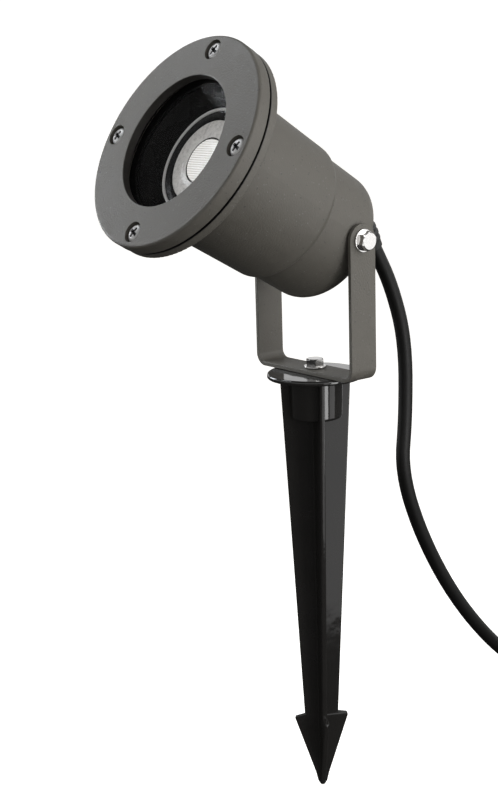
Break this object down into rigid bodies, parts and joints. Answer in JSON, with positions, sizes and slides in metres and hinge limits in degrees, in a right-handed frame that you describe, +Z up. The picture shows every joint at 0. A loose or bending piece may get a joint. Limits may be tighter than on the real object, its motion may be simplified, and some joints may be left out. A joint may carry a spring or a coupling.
{
  "type": "garden spike spotlight",
  "caption": "Round die-cast garden spotlight with a flat glass, on a tilting U bracket and a barbed plastic ground spike, with a rubber mains lead and plug.",
  "frame": {"origin": "centre of the underside of the ground spike's flange, at soil level", "axes": "+Z up along the spike, X along the tilt axis, the beam leaves towards -Y and up"},
  "size_m": [0.1468, 0.3609, 0.3707],
  "materials": {
    "cast_aluminium": "dark anthracite fine-textured powder coat on die-cast aluminium and strip",
    "black_rubber": "matt black gasket rubber",
    "cable_rubber": "matt black rubber cable sheath",
    "stainless": "bright stainless steel",
    "clear_glass": "clear tempered glass",
    "lamp_optic": "clear and frosted moulded optic",
    "gloss_black": "gloss black",
    "lamp_shell": "white lamp shell with a bright rim",
    "plated_pins": "nickel plated",
    "ceramic": "unglazed ceramic",
    "plated_steel": "zinc plated steel",
    "white_nylon": "white nylon",
    "wire_cores": "insulated copper cores",
    "wire_sleeves": "silicone sleeved cores",
    "black_nylon": "black nylon",
    "spike_plastic": "gloss black moulded plastic",
    "tie_plastic": "black hook-and-loop tie",
    "plug_rubber": "moulded black rubber"
  },
  "bodies": {
    "stake": {"ground_spike": "spike_plastic", "base_bolt": "stainless", "base_washer": "stainless", "base_nut": "stainless"},
    "bracket": {"bracket": "cast_aluminium", "cord_drop": "cable_rubber", "cord_coil": "cable_rubber", "cord_tie": "tie_plastic", "cord_plug_end": "cable_rubber", "plug_body": "plug_rubber", "plug_pins": "plated_pins", "plug_earth_clips": "plated_pins"},
    "head": {"front_bezel": "cast_aluminium", "bezel_gasket": "black_rubber", "bezel_screws": "stainless", "front_glass": "clear_glass", "glass_gasket": "black_rubber", "housing": "cast_aluminium", "anti_glare_sleeve": "gloss_black", "lamp_body": "lamp_shell", "lamp_lens": "lamp_optic", "lamp_pins": "plated_pins", "lamp_holder": "ceramic", "lamp_bridge": "plated_steel", "bridge_screws": "stainless", "terminal_block": "white_nylon", "supply_wires": "wire_cores", "lamp_wires": "wire_sleeves", "cable_gland": "black_nylon", "gland_seal": "black_rubber", "gland_locknut": "black_nylon", "strain_relief": "cable_rubber", "cord_head_end": "cable_rubber", "pivot_bolts": "stainless", "pivot_washers": "stainless", "pivot_pads": "black_nylon"}
  },
  "joints": [
    {"name": "pan", "type": "hinge", "parent": "stake", "child": "bracket", "pos_m": [0, 0, 0.0025], "axis": [0, 0, 1], "range_deg": [-170, 170]},
    {"name": "tilt", "type": "hinge", "parent": "bracket", "child": "head", "pos_m": [0, 0, 0.0677], "axis": [-1, 0, 0], "range_deg": [-35, 59]}
  ]
}
